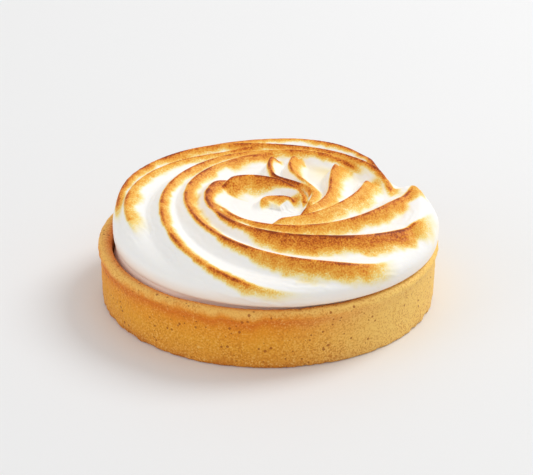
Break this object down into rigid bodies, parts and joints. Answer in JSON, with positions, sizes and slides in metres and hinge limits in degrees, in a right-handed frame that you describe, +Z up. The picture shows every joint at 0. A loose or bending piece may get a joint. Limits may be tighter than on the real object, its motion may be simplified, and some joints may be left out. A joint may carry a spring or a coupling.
{
  "type": "lemon meringue tart",
  "caption": "Individual lemon meringue tart: a straight-sided shortcrust shell with a mound of toasted meringue piped in one turning swirl.",
  "frame": {"origin": "centre of the shell's flat underside, on the surface the tart stands on", "axes": "+Z up through the meringue, -Y towards the viewer's side, +X to the right as seen from there"},
  "size_m": [0.105, 0.105, 0.0344],
  "materials": {
    "pastry": "golden baked shortcrust, dry and matte with fine grain and small pits",
    "meringue": "soft white meringue with a satin surface, torched golden to dark brown along the crests"
  },
  "bodies": {
    "root": {"pastry_shell": "pastry", "meringue": "meringue"}
  },
  "joints": []
}
